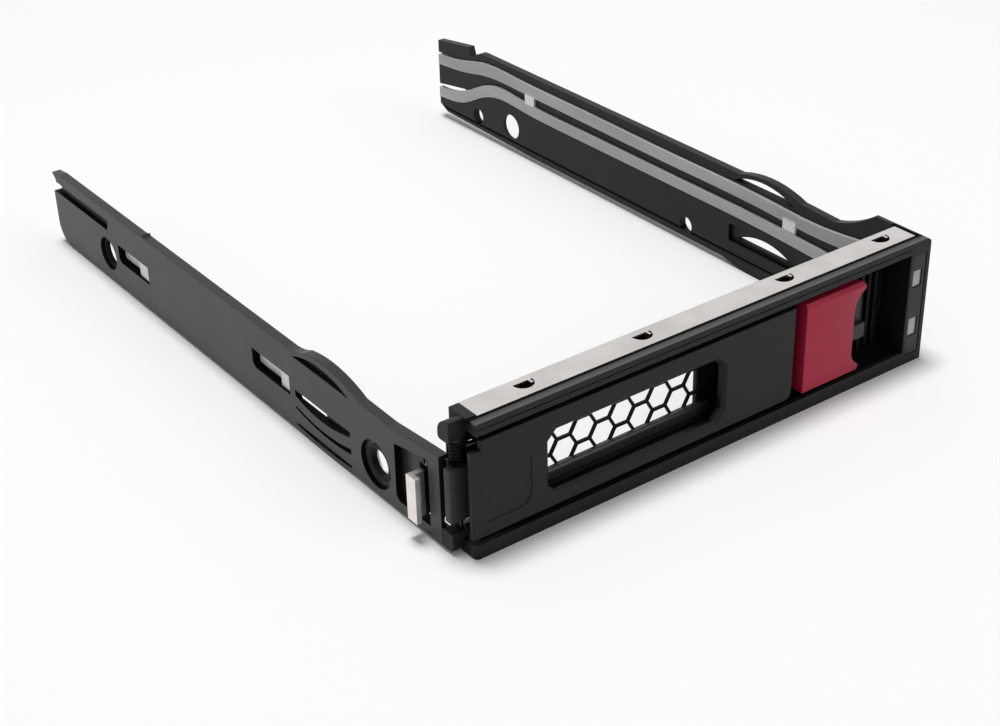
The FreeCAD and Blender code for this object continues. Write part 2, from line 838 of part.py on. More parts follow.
# Claw and its rivets
def claw():
    """Folded steel plate: base on the lever, arm through the rail, hook outside."""
    t = claw_thickness
    outer = claw_arm_outer
    front = claw_base_front
    rear = claw_tip_rear
    steps = [
        (claw_base_right, front), (claw_base_right, front + t), (outer + t + 0.5, front + t),
        (outer + t + 0.15, front + t + 0.15, outer + t, front + t + 0.5),
        (outer + t, rear), (claw_tip_x, rear), (claw_tip_x, claw_tip_front),
        (claw_tip_x + t, claw_tip_front), (claw_tip_x + t, rear - t), (outer, rear - t), (outer, front + 1.2),
        (outer + 0.35, front + 0.35, outer + 1.2, front),
    ]
    body = plate("xy", steps, claw_tip_low, claw_high)
    arm_rear = rear - t - 0.3
    over_tip = block(claw_tip_x - over, outer, 0, rear + over, claw_tip_high, claw_high + over)
    under_base = block(
        outer - 0.2, claw_base_right + over, front - over, claw_tip_front - 1.0, claw_tip_low - over, claw_base_low,
    )
    slit = block(outer - over, outer + t + over, arm_rear - 1.75, arm_rear, claw_low + 1.6, claw_low + 3.4)
    return body.cut([over_tip, under_base, slit] + rivet_holes(front - over)).removeSplitter()


def claw_rivets():
    rivets = []
    rear = claw_base_front + claw_thickness
    front = claw_rivet_front
    for z in (claw_rivet_low, claw_rivet_low + claw_rivet_pitch):
        shank = rod(claw_rivet_radius, (claw_rivet_x, front, z), (0, 1, 0), rear - front)
        head = rod(claw_rivet_radius + 0.7, (claw_rivet_x, rear, z), (0, 1, 0), 0.4)
        rivets.append(shank.fuse(head).removeSplitter())
    return Part.makeCompound(rivets)


# Hinge pin and spring
def hinge_pin():
    top = upper_lug_high - 1.5
    return rod(hinge_pin_radius, (hinge_x, hinge_y, hinge_pin_foot), (0, 0, 1), top - hinge_pin_foot)


def hinge_spring():
    """Torsion spring with its lower leg at the post of the bezel and its upper leg behind the lever face."""
    wire = hinge_spring_wire / 2
    low = hinge_spring_low
    high = low + hinge_spring_pitch * hinge_spring_turns
    radius = hinge_spring_radius
    body = coil(radius, hinge_spring_wire, hinge_spring_pitch, hinge_spring_turns, (0, 0, 0), (0, 0, 1))
    body.rotate(Vector(0, 0, 0), Vector(0, 0, 1), 90)
    body.translate(Vector(hinge_x, hinge_y, low))
    post = Vector(back_wall_left - 0.05, hinge_y + 1.1, low)
    face = Vector(hinge_spring_reach, lever_face + wire + 0.05, high)
    ends = [
        (Vector(hinge_x, hinge_y + radius, low), post),
        (Vector(hinge_x, hinge_y - radius, high), face),
    ]
    for start, end in ends:
        back = (start - end).normalize() * wire
        body = body.fuse(Part.makeCylinder(0.93 * wire, (end - start - back).Length, start + back, end - start))
    return body


# Button
def button_outline():
    return [
        (button_left, button_low), (button_flare_low - 0.3, button_low),
        (button_flare_low + 0.05, button_low + 0.5, button_flare_low, button_low + 1.2),
        (button_waist + 0.45, button_low + 2.5, button_waist, button_low + 4.2),
        (button_waist, button_high - 5.2),
        (button_waist + 0.7, button_high - 3.1, button_flare_top, button_high - 1.5),
        (button_flare_top - 0.15, button_high - 0.4, button_flare_top - 0.8, button_high),
        (button_left, button_high),
    ]


def release_button():
    """Hollow cap whose two legs hook round the tongue of the lever."""
    body = plate("xz", button_outline(), 0, button_depth)
    hollow = block(
        button_left + button_wall, button_flare_top + over, button_face, button_depth + over,
        button_low + button_wall, button_high - button_wall,
    )
    bevel = plate("yz", [
        (-over, button_high + over), (-over, button_high - button_bevel), (0, button_high - button_bevel),
        (0.45, button_high), (0.45, button_high + over),
    ], button_left - over, button_flare_top + over)
    gap = button_guide_gap
    front = button_face - 0.6
    back = tongue_front + tongue_thickness + gap
    rear = back + 0.9
    left = button_leg_left
    right = button_leg_right
    half = spring_seat_size / 2
    seat = button_spring_left + button_spring_length
    added = [
        block(left, right, front, rear, tongue_high + gap, button_high - 0.1),
        block(left, right, back, rear, tongue_high - 1.3, tongue_high + gap),
        block(left, right, front, rear, button_low + 0.3, tongue_low - gap),
        block(left, right, back, rear, tongue_low - gap, tongue_low + 1.3),
        block(
            seat, seat + spring_seat_thickness, front, tongue_front - 0.2,
            button_spring_z - half, button_spring_z + half,
        ),
    ]
    return body.cut([hollow, bevel]).fuse(added).removeSplitter()


def latch_plate():
    """Steel plate behind the button face, folded back and then out to a nose."""
    t = latch_thickness
    face = block(latch_left, latch_right, latch_front, latch_front + t, latch_low, latch_high)
    leg = block(latch_right - t, latch_right, latch_front, latch_nose_rear, latch_nose_low, latch_nose_high)
    nose = block(
        latch_right - t, latch_nose_tip, latch_nose_rear - t, latch_nose_rear, latch_nose_low, latch_nose_high,
    )
    return face.fuse([leg, nose]).removeSplitter()


def latch_keeper():
    back = back_wall_front
    post = block(keeper_left, keeper_right, keeper_front, back, keeper_low, keeper_high)
    step = block(keeper_left, keeper_right, keeper_block_front, back, keeper_low, keeper_block_high)
    return post.fuse(step).removeSplitter()


def button_spring():
    margin = spring_end_gap + button_spring_wire / 2
    pitch = (button_spring_length - 2 * margin) / button_spring_turns
    base = (button_spring_left + margin, button_spring_y, button_spring_z)
    return coil(button_spring_radius, button_spring_wire, pitch, button_spring_turns, base, (1, 0, 0))


# Indicator panel and light pipes
def led_panel():
    gap = panel_gap
    left = divider_left + divider_thickness + gap
    rear = panel_front + panel_thickness
    steps = panel_outline(left, panel_right - gap, panel_low + gap, panel_high - gap)
    windows = []
    for low, high in (upper_indicator, lower_indicator):
        windows.append(block(indicator_left, indicator_right, panel_front - over, rear + over, low, high))
    return plate("xz", steps, panel_front, rear).cut(windows)


def light_pipes():
    """Two clear bands along the right rail, tied by two bridges, one moulding."""
    bands = [ribbon(upper_pipe, 0, pipe_inner, pipe_outer), ribbon(lower_pipe, 0, pipe_inner, pipe_outer)]
    for front in pipe_bridge_fronts:
        bands.append(block(
            pipe_inner, pipe_outer, front, front + pipe_bridge_width, pipe_bridge_low, pipe_bridge_high,
        ))
    gap = panel_gap
    rear = pipe_head_rear
    for low, high in (upper_indicator, lower_indicator):
        bands.append(block(
            indicator_left + gap, indicator_right - gap, indicator_front, rear, low + gap, high - gap,
        ))
        bands.append(block(pipe_inner, indicator_right - gap, rear - 0.2, rear + 1.0, low + 0.4, high - 0.4))
    return bands[0].fuse(bands[1:]).removeSplitter()


# Contact strips of the left rail
def contact(front, step_y, rear):
    """Strip behind a window of the rail; it narrows at its rear end."""
    x0 = left_rail_inner
    x1 = left_rail_inner + contact_thickness
    steps = [
        (front, contact_low), (step_y, contact_low), (step_y, contact_step), (rear - 0.4, contact_step),
        (rear, contact_step + 0.4), (rear, contact_high), (front, contact_high),
    ]
    return plate("yz", steps, x0, x1)


def rear_contact():
    front = rear_window_front - 4.1
    return contact(front, front + 8.4, front + 13.3)


def middle_contact():
    front = middle_window_front - 1.0
    return contact(front, front + 4.4, front + 11.6)


def front_bracket():
    """Strip at the front drive hole, drawn into a bush that lines the hole."""
    x0 = left_rail_inner
    x1 = left_rail_inner + contact_thickness
    front = bracket_front
    rear = bracket_rear
    steps = [
        (front, bracket_low), (rear - 6.5, bracket_low), (rear - 6.0, screw_z - 1.4),
        (rear, screw_z - 0.8), (rear, bracket_tab_high), (rear - 5.0, bracket_tab_high), (rear - 6.0, bracket_high),
        (bracket_tongue_front, bracket_high), (bracket_tongue_front, screw_z + 1.8), (front, screw_z + 1.8),
    ]
    length = left_rail_wall - screw_countersink_depth - 0.1
    bush = rod(bush_radius, (x0 - length, screw_front_y, screw_z), (1, 0, 0), length + contact_thickness)
    hole = rod(screw_radius, (x0 - length - over, screw_front_y, screw_z), (1, 0, 0), length + 2 * over)
    return plate("yz", steps, x0, x1).fuse(bush).cut(hole).removeSplitter()


# Export, moved so that the origin is the middle of the footprint on the ground
shift = Vector(-(claw_tip_x + bezel_width) / 2, -right_rail_rear / 2, 0)

nodes = {
    "bezel_frame": bezel_frame,
    "left_rail": left_rail,
    "top_strip": top_strip,
    "vent_mesh": vent_mesh,
    "lever": lever,
    "claw": claw,
    "claw_rivets": claw_rivets,
    "hinge_pin": hinge_pin,
    "hinge_spring": hinge_spring,
    "release_button": release_button,
    "latch_plate": latch_plate,
    "latch_keeper": latch_keeper,
    "button_spring": button_spring,
    "led_panel": led_panel,
    "light_pipes": light_pipes,
    "rear_contact": rear_contact,
    "middle_contact": middle_contact,
    "front_bracket": front_bracket,
}
for name, build in nodes.items():
    shape = build()
    shape.translate(shift)
    shape.exportStep("parts/" + name + ".step")
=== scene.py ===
"""Studio scene of a hot swap drive caddy: finishes, fine pieces, floor, light and camera."""

import logging
import math
from collections.abc import Callable
from dataclasses import dataclass
from enum import Enum

import bpy
from mathutils import Euler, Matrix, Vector


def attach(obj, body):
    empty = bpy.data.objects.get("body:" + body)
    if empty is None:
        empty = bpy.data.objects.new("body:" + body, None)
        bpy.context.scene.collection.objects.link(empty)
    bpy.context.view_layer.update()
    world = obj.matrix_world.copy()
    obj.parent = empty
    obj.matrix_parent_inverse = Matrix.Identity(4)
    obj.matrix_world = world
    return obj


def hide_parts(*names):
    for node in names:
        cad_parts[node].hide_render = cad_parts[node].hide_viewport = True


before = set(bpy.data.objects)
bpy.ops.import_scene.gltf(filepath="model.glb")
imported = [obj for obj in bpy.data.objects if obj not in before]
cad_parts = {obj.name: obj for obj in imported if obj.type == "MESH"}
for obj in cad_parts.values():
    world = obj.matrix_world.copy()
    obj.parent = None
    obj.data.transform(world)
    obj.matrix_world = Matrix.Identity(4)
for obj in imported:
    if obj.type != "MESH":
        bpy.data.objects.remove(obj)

log = logging.getLogger("caddy")

# Metres in a millimetre, and the row frame's origin as the caddy's own millimetres
MM = 0.001
CENTRE_X = 48.6
CENTRE_Y = 78.3

# Degrees up to which faces shade as one, from which a fitting's edge is rounded, and that count as flat
SMOOTH = 32.0
BLOCK_EDGE = 25.0
FLAT = 0.5

# Millimetres on both sides of a face's plane that a region of faces takes in
MARGIN = 0.1

Colour = tuple[float, float, float]
Triple = tuple[float, float, float]


class Body(Enum):
    """Bodies of the caddy that move on their own."""

    CARRIER = "carrier"
    HANDLE = "handle"
    BUTTON = "button"


class Brushing(Enum):
    """Direction of the fine lines that rolling or brushing leaves in steel, as stretch of the noise."""

    ALONG_X = (0.035, 1.0, 1.0)
    ALONG_Y = (1.0, 0.035, 1.0)
    ALONG_Z = (1.0, 1.0, 0.05)
    NONE = (1.0, 1.0, 1.0)


def place(x: float, y: float, z: float) -> Vector:
    """Point of the caddy in metres.

    Args:
        x: Millimetres from the left end of the bezel.
        y: Millimetres behind the front face.
        z: Millimetres above the ground.

    Returns:
        The point in the row frame.
    """
    return Vector(((x - CENTRE_X) * MM, (y - CENTRE_Y) * MM, z * MM))


class Value:
    """Number that varies over a surface; arithmetic on it adds Math nodes."""

    def __init__(self, graph: "Graph", socket: bpy.types.NodeSocket) -> None:
        """Keeps the graph and the socket that carries the number."""
        self.graph = graph
        self.socket = socket

    def _math(self, operation: str, first: object, second: object, clamp: bool = False) -> "Value":
        """Adds one Math node.

        Args:
            operation: Name of the operation.
            first: First number or Value.
            second: Second number or Value.
            clamp: Whether the result stays between 0 and 1.

        Returns:
            The result.
        """
        made = self.graph.node(
            "ShaderNodeMath", {"operation": operation, "use_clamp": clamp}, {0: first, 1: second}
        )
        return Value(self.graph, made.outputs[0])

    def __add__(self, other: object) -> "Value":
        """Sum."""
        return self._math("ADD", self, other)

    def __radd__(self, other: object) -> "Value":
        """Sum, from the right."""
        return self._math("ADD", other, self)

    def __sub__(self, other: object) -> "Value":
        """Difference."""
        return self._math("SUBTRACT", self, other)

    def __rsub__(self, other: object) -> "Value":
        """Difference, from the right."""
        return self._math("SUBTRACT", other, self)

    def __mul__(self, other: object) -> "Value":
        """Product."""
        return self._math("MULTIPLY", self, other)

    def __rmul__(self, other: object) -> "Value":
        """Product, from the right."""
        return self._math("MULTIPLY", other, self)

    def __abs__(self) -> "Value":
        """Size of the number."""
        return self._math("ABSOLUTE", self, 0.0)

    def __gt__(self, other: object) -> "Value":
        """1 where this is the larger number, else 0."""
        return self._math("GREATER_THAN", self, other)

    def __lt__(self, other: object) -> "Value":
        """1 where this is the smaller number, else 0."""
        return self._math("LESS_THAN", self, other)

    def larger(self, other: object) -> "Value":
        """The larger of this number and another."""
        return self._math("MAXIMUM", self, other)

    def clamped(self) -> "Value":
        """The number kept between 0 and 1."""
        return self._math("ADD", self, 0.0, True)

    def ramp(self, low: float, high: float) -> "Value":
        """Smooth step.

        Args:
            low: Number at which the step begins.
            high: Number at which it is complete.

        Returns:
            0 below low, 1 above high.
        """
        made = self.graph.node(
            "ShaderNodeMapRange",
            {"interpolation_type": "SMOOTHSTEP"},
            {"Value": self, "From Min": low, "From Max": high},
        )
        return Value(self.graph, made.outputs[0])


class Graph:
    """Node tree of a material or of the world."""

    def __init__(self, owner: bpy.types.Material | bpy.types.World) -> None:
        """Starts an empty tree in that material or world."""
        self.owner = owner
        owner.use_nodes = True
        self.tree = owner.node_tree
        self.tree.nodes.clear()

    def node(self, kind: str, settings: dict | None = None, inputs: dict | None = None) -> bpy.types.Node:
        """Adds a node.

        Args:
            kind: Type of the node.
            settings: Its properties, set first.
            inputs: Number, colour, Value, socket or node for each of its sockets.

        Returns:
            The node.
        """
        made = self.tree.nodes.new(kind)
        for key, setting in (settings or {}).items():
            setattr(made, key, setting)
        for key, given in (inputs or {}).items():
            source = given.socket if isinstance(given, Value) else given
            if isinstance(source, bpy.types.NodeSocket):
                self.tree.links.new(source, made.inputs[key])
            elif isinstance(source, tuple) and len(source) == 3 and made.inputs[key].type == "RGBA":
                made.inputs[key].default_value = (*source, 1.0)
            else:
                made.inputs[key].default_value = source
        return made

    def coordinates(self, stretch: Triple = (1.0, 1.0, 1.0)) -> bpy.types.NodeSocket:
        """Place on the caddy in millimetres, stretched along the axes."""
        spot = self.node("ShaderNodeTexCoord")
        scale = tuple(axis / MM for axis in stretch)
        mapping = self.node(
            "ShaderNodeMapping", {"vector_type": "POINT"}, {"Vector": spot.outputs["Object"], "Scale": scale}
        )
        return mapping.outputs[0]

    def parts(self, vector: bpy.types.NodeSocket) -> tuple[Value, Value, Value]:
        """Parts of a vector along the axes."""
        split = self.node("ShaderNodeSeparateXYZ", {}, {0: vector})
        x, y, z = (Value(self, socket) for socket in split.outputs)
        return x, y, z

    def depths(self) -> tuple[Value, Value, Value]:
        """Millimetres from the bezel's left end, behind the front face and above the ground."""
        x, y, z = self.parts(self.coordinates())
        return x + CENTRE_X, y + CENTRE_Y, z

    def facing(self) -> tuple[Value, Value, Value]:
        """Direction that the surface of the piece faces, along each axis."""
        return self.parts(self.node("ShaderNodeTexCoord").outputs["Normal"])

    def recess(self, reach: float) -> Value:
        """Depth of grooves and corners.

        Args:
            reach: Millimetres within which walls count.

        Returns:
            1 deep in a recess of the piece, 0 on its open faces.
        """
        made = self.node(
            "ShaderNodeAmbientOcclusion", {"samples": 6, "only_local": True}, {"Distance": reach * MM}
        )
        return 1.0 - Value(self, made.outputs["AO"]).ramp(0.2, 0.8)

    def noise(
        self, size: float, detail: float = 2.0, stretch: Triple = (1.0, 1.0, 1.0)
    ) -> Value:
        """Cloudy noise.

        Args:
            size: Size of its patches in millimetres.
            detail: Number of finer layers.
            stretch: Scale along each axis.

        Returns:
            Numbers round 0.5.
        """
        made = self.node(
            "ShaderNodeTexNoise", {"noise_dimensions": "3D"},
            {"Vector": self.coordinates(stretch), "Scale": 1.0 / size, "Detail": detail, "Roughness": 0.55},
        )
        return Value(self, made.outputs["Fac"])

    def specks(self, spacing: float, share: float, radius: float) -> Value:
        """Sparse round specks.

        Args:
            spacing: Distance between possible specks in millimetres.
            share: Share of the places that hold one.
            radius: Radius of a speck as a share of the spacing.

        Returns:
            1 on a speck, else 0.
        """
        cells = self.node(
            "ShaderNodeTexVoronoi", {"feature": "F1", "voronoi_dimensions": "3D"},
            {"Vector": self.coordinates(), "Scale": 1.0 / spacing},
        )
        split = self.node("ShaderNodeSeparateColor", {}, {0: cells.outputs["Color"]})
        chosen = Value(self, split.outputs[0]) > (1.0 - share)
        near = 1.0 - Value(self, cells.outputs["Distance"]).ramp(radius * 0.7, radius)
        return near * chosen

    def edges(self, radius: float) -> tuple[Value, bpy.types.NodeSocket]:
        """Rounded edges.

        Args:
            radius: Radius of the rounding in millimetres.

        Returns:
            1 on an edge and 0 on a flat, and the rounded normal.
        """
        rounded = self.node("ShaderNodeBevel", {"samples": 6}, {"Radius": radius * MM})
        flat = self.node("ShaderNodeNewGeometry")
        match = self.node(
            "ShaderNodeVectorMath", {"operation": "DOT_PRODUCT"},
            {0: rounded.outputs[0], 1: flat.outputs["Normal"]},
        )
        return (1.0 - Value(self, match.outputs["Value"])).ramp(0.02, 0.3), rounded.outputs[0]

    def blend(self, share: Value, first: object, second: object) -> bpy.types.NodeSocket:
        """Mixes two colours by a share that varies."""
        made = self.node(
            "ShaderNodeMix", {"data_type": "RGBA", "blend_type": "MIX"},
            {0: share.clamped(), 6: first, 7: second},
        )
        return made.outputs[2]

    def relief(self, height: Value, depth: float, normal: bpy.types.NodeSocket) -> bpy.types.NodeSocket:
        """Relief on top of a normal, its depth in millimetres."""
        made = self.node(
            "ShaderNodeBump", {},
            {"Height": height, "Distance": depth * MM, "Strength": 1.0, "Normal": normal},
        )
        return made.outputs[0]

    def shader(self, **sockets: object) -> bpy.types.NodeSocket:
        """Principled shader with those sockets, underscores for spaces."""
        made = self.node(
            "ShaderNodeBsdfPrincipled", {}, {key.replace("_", " "): given for key, given in sockets.items()}
        )
        return made.outputs[0]

    def finish(self, **sockets: object) -> bpy.types.Material:
        """Ends in a Principled shader with those sockets."""
        self.node("ShaderNodeOutputMaterial", {}, {"Surface": self.shader(**sockets)})
        return self.owner

    def finish_with_painted_shade(self, painted_shade: Value, **sockets: object) -> bpy.types.Material:
        """Ends in a Principled shader that gives way to black which paints shade.

        Args:
            painted_shade: Share of the black that paints shade.
            sockets: Sockets of the shader.

        Returns:
            The material.
        """
        # Near-black, non-specular shader that paints shade into recesses and gaps.
        painted_shade_black = self.shader(Base_Color=(0.002, 0.002, 0.002), Roughness=0.9, Specular_IOR_Level=0.06)
        mixed = self.node(
            "ShaderNodeMixShader", {}, {0: painted_shade.clamped(), 1: self.shader(**sockets), 2: painted_shade_black}
        )
        self.node("ShaderNodeOutputMaterial", {}, {"Surface": mixed.outputs[0]})
        return self.owner


@dataclass(frozen=True)
class MouldedPlastic:
    """Moulded plastic: fine grain, faint clouding, polished edges and a little dust.

    Sizes are in millimetres. A reach above 0 paints shade as black into the grooves and corners within it.
    """

    name: str
    colour: Colour
    clouded: Colour
    edge: Colour
    roughness: float
    grain: float = 0.22
    depth: float = 0.012
    edge_radius: float = 0.22
    dust: float = 0.05
    dust_colour: Colour = (0.16, 0.15, 0.15)
    specular: float = 0.5
    reach: float = 0.0
    cloud_size: float = 14.0
    wear_size: float = 1.3
    speck_spacing: float = 1.7

    def tone(self, graph: Graph, colour: object) -> object:
        """Colour of the places that differ from the rest."""
        return colour

    def painted_shade(self, graph: Graph) -> Value:
        """Share of black that paints shade in grooves and recesses."""
        return graph.recess(self.reach)

    def build(self) -> bpy.types.Material:
        """Makes the material."""
        graph = Graph(bpy.data.materials.new(self.name))
        grain = graph.noise(self.grain, 3.0)
        cloud = graph.noise(self.cloud_size, 3.0)
        edge, normal = graph.edges(self.edge_radius)
        colour = graph.blend(cloud.ramp(0.35, 0.75), self.colour, self.clouded)
        colour = self.tone(graph, colour)
        colour = graph.blend(edge * (0.35 + 0.65 * graph.noise(self.wear_size, 2.0)), colour, self.edge)
        colour = graph.blend(graph.specks(self.speck_spacing, self.dust, 0.05), colour, self.dust_colour)
        rough = (self.roughness + 0.16 * (grain - 0.5) + 0.08 * (cloud - 0.5) - 0.06 * edge).clamped()
        sockets = {
            "Base_Color": colour,
            "Roughness": rough,
            "Specular_IOR_Level": self.specular,
            "Normal": graph.relief(grain, self.depth, normal),
        }
        # Black takes over in the recesses, as painted shade.
        if self.reach > 0:
            return graph.finish_with_painted_shade(self.painted_shade(graph), **sockets)
        return graph.finish(**sockets)


@dataclass(frozen=True)
class BezelPlastic(MouldedPlastic):
    """Plastic of the bezel: a painted highlight on its top face along the front edge, and painted shadow
    gaps along the strip and under the lever.
    """

    # Colour of the highlight painted along the front edge of the top face.
    painted_highlight: Colour = (0.1, 0.097, 0.095)
    strip_front: float = 2.35
    front_edge: float = 0.12
    top_low: float = 25.2
    gap_low: float = 25.0
    gap_ahead: float = 0.8
    gap_behind: float = 0.3
    sill_left: float = 0.4
    sill_front: float = 0.95
    sill_low: float = 2.5
    sill_high: float = 3.1

    def tone(self, graph: Graph, colour: object) -> object:
        """Paints a streaked highlight on the top face towards its front edge."""
        _, y, z = graph.depths()
        # Painted highlight, in streaks, fading from the front edge towards the strip.
        streaks = graph.noise(0.35, 3.0, (0.12, 1.0, 1.0))
        painted_highlight = (z > self.top_low) * (1.0 - y.ramp(-0.2, self.strip_front)) * (0.55 + 0.6 * streaks)
        return graph.blend(painted_highlight * (y > self.front_edge), colour, self.painted_highlight)

    def painted_shade(self, graph: Graph) -> Value:
        """Adds the shadow gaps along the strip and under the lever."""
        x, y, z = graph.depths()
        # Painted shadow: black lines along the strip's front and under the lever, added to the painted shade
        # in recesses.
        gap = (
            (z > self.gap_low)
            * (y > self.strip_front - self.gap_ahead)
            * (y < self.strip_front + self.gap_behind)
        )
        under_lever = (
            (x > self.sill_left) * (z > self.sill_low) * (z < self.sill_high) * (y > self.sill_front)
        )
        return graph.recess(self.reach) + gap + under_lever


@dataclass(frozen=True)
class LeverPlastic(MouldedPlastic):
    """Plastic of the lever: painted shade as black behind its front skin, apart from the ledge under the
    vent.
    """

    skin: float = 1.45
    skin_blend: float = 0.1
    ledge: float = 3.6
    vent_low: float = 6.3

    def painted_shade(self, graph: Graph) -> Value:
        """Paints shade as black in the hollow, apart from the ledge under the vent."""
        _, y, z = graph.depths()
        # Painted shade: black behind the front skin and in recesses; the ledge under the vent keeps its
        # colour.
        ledge = (y > self.ledge) * (z < self.vent_low)
        behind = y.ramp(self.skin - self.skin_blend, self.skin + self.skin_blend)
        return graph.recess(self.reach) * 0.8 + behind * (1.0 - ledge)


@dataclass(frozen=True)
class RailPlastic(MouldedPlastic):
    """Plastic of the left rail: a painted sheen on its broad faces, painted shade on its top faces and where
    it is cut through.
    """

    # Paler colours painted on the broad faces as a sheen.
    painted_sheen: Colour = (0.048, 0.048, 0.0515)
    painted_sheen_clouded: Colour = (0.058, 0.058, 0.061)
    # Darker colour painted on faces that look up, as shade.
    top: Colour = (0.02, 0.018, 0.0175)
    cut_low: float = 1.0
    cut_high: float = 15.7
    cut_front: float = 9.3
    cut_rear: float = 151.5
    # How much black paints shade in the recesses and on the cut walls.
    painted_shade_black: float = 0.85

    def tone(self, graph: Graph, colour: object) -> object:
        """Paints a sheen on the broad faces, paler than the cut walls, and paints shade on faces that look
        up.
        """
        across, _, up = graph.facing()
        broad = graph.blend(graph.noise(9.0, 3.0).ramp(0.3, 0.75), self.painted_sheen, self.painted_sheen_clouded)
        colour = graph.blend(up.ramp(0.6, 0.9), colour, self.top)
        return graph.blend(abs(across).ramp(0.55, 0.9), colour, broad)

    def painted_shade(self, graph: Graph) -> Value:
        """Paints shade as black on the walls of the windows, holes and slots."""
        across, _, _ = graph.facing()
        _, y, z = graph.depths()
        inside = (z < self.cut_high) * (z > self.cut_low) * (y > self.cut_front) * (y < self.cut_rear)
        walls = (1.0 - abs(across).ramp(0.3, 0.6)) * inside
        return graph.recess(self.reach) * self.painted_shade_black + walls * self.painted_shade_black


@dataclass(frozen=True)
class SheetSteel:
    """Rolled or pressed sheet steel with fine lines and faint smears."""

    name: str
    colour: Colour
    smear: Colour
    roughness: float
    brushing: Brushing
    edge_radius: float = 0.12
    line: float = 0.12
    depth: float = 0.0015

    def build(self) -> bpy.types.Material:
        """Makes the material."""
        graph = Graph(bpy.data.materials.new(self.name))
        lines = graph.noise(self.line, 2.0, self.brushing.value)
        cloud = graph.noise(7.0, 3.0)
        edge, normal = graph.edges(self.edge_radius)
        colour = graph.blend(cloud.ramp(0.3, 0.75), self.colour, self.smear)
        colour = graph.blend(lines.ramp(0.55, 0.8) * 0.35, colour, self.smear)
        colour = graph.blend(edge * 0.4, colour, tuple(min(1.0, 1.25 * part) for part in self.colour))
        rough = (self.roughness + 0.18 * (lines - 0.5) + 0.14 * (cloud - 0.5)).clamped()
        return graph.finish(
            Base_Color=colour, Metallic=1.0, Roughness=rough, Normal=graph.relief(lines, self.depth, normal)
        )


@dataclass(frozen=True)
class PaintedSteel:
    """Sheet steel under a thin black paint, thinner on its edges."""

    name: str
    colour: Colour
    edge: Colour
    roughness: float
    specular: float = 0.3

    def build(self) -> bpy.types.Material:
        """Makes the material."""
        graph = Graph(bpy.data.materials.new(self.name))
        grain = graph.noise(0.3, 3.0)
        edge, normal = graph.edges(0.12)
        colour = graph.blend(edge * graph.noise(0.9, 2.0).ramp(0.35, 0.6), self.colour, self.edge)
        rough = (self.roughness + 0.2 * (grain - 0.5)).clamped()
        return graph.finish(
            Base_Color=colour, Roughness=rough, Specular_IOR_Level=self.specular,
            Normal=graph.relief(grain, 0.008, normal),
        )


@dataclass(frozen=True)
class ClawSteel(SheetSteel):
    """Pressed steel, bright on the hook, with painted shade on the part bent round the rail."""

    # Dark brown painted shade for the part bent round the rail.
    painted_arm_shade: Colour = (0.05, 0.041, 0.034)
    bright_up_to: float = -3.1
    bright_blend: float = 0.2

    def build(self) -> bpy.types.Material:
        """Makes the material."""
        graph = Graph(bpy.data.materials.new(self.name))
        x, _, _ = graph.depths()
        lines = graph.noise(self.line, 2.0, self.brushing.value)
        cloud = graph.noise(5.0, 3.0)
        edge, normal = graph.edges(self.edge_radius)
        bright = graph.blend(lines.ramp(0.4, 0.75), self.colour, self.smear)
        # Painted shade, clouded, on the part inward of the hook.
        dark = graph.blend(cloud.ramp(0.3, 0.75), self.painted_arm_shade, tuple(0.55 * part for part in self.painted_arm_shade))
        inward = x.ramp(self.bright_up_to - self.bright_blend, self.bright_up_to + self.bright_blend)
        colour = graph.blend(inward, bright, dark)
        colour = graph.blend(edge * 0.35, colour, tuple(min(1.0, 1.2 * part) for part in self.colour))
        rough = (self.roughness + 0.18 * (lines - 0.5)).clamped()
        return graph.finish(
            Base_Color=colour, Metallic=1.0, Roughness=rough, Normal=graph.relief(lines, self.depth, normal)
        )


@dataclass(frozen=True)
class ClearPlastic:
    """Clear plastic with a frosted skin, with painted highlights on its edges and on its bridges."""

    name: str
    colour: Colour
    frost: Colour
    # Colour of the painted highlights.
    edge: Colour
    roughness: float
    transmission: float
    bridges: tuple[tuple[float, float], ...] = ()
    bridge_low: tuple[float, float] = (14.2, 14.8)
    bridge_high: tuple[float, float] = (16.6, 17.4)

    def build(self) -> bpy.types.Material:
        """Makes the material."""
        graph = Graph(bpy.data.materials.new(self.name))
        frost = graph.noise(0.5, 3.0)
        flow = graph.noise(6.0, 3.0, (1.0, 0.15, 1.0))
        edge, normal = graph.edges(0.2)
        colour = graph.blend(flow.ramp(0.3, 0.7), self.colour, self.frost)
        _, y, z = graph.depths()
        # Painted highlights on the bridges of the pipes.
        for front, rear in self.bridges:
            bridge_highlight = (y > front) * (y < rear) * z.ramp(*self.bridge_low) * (1.0 - z.ramp(*self.bridge_high))
            colour = graph.blend(bridge_highlight * (0.7 + 0.4 * frost), colour, self.edge)
        # Painted highlight on every edge.
        colour = graph.blend(edge, colour, self.edge)
        rough = (self.roughness + 0.2 * (frost - 0.5)).clamped()
        return graph.finish(
            Base_Color=colour,
            Roughness=rough,
            IOR=1.49,
            Transmission_Weight=self.transmission,
            Normal=graph.relief(frost, 0.006, normal),
        )


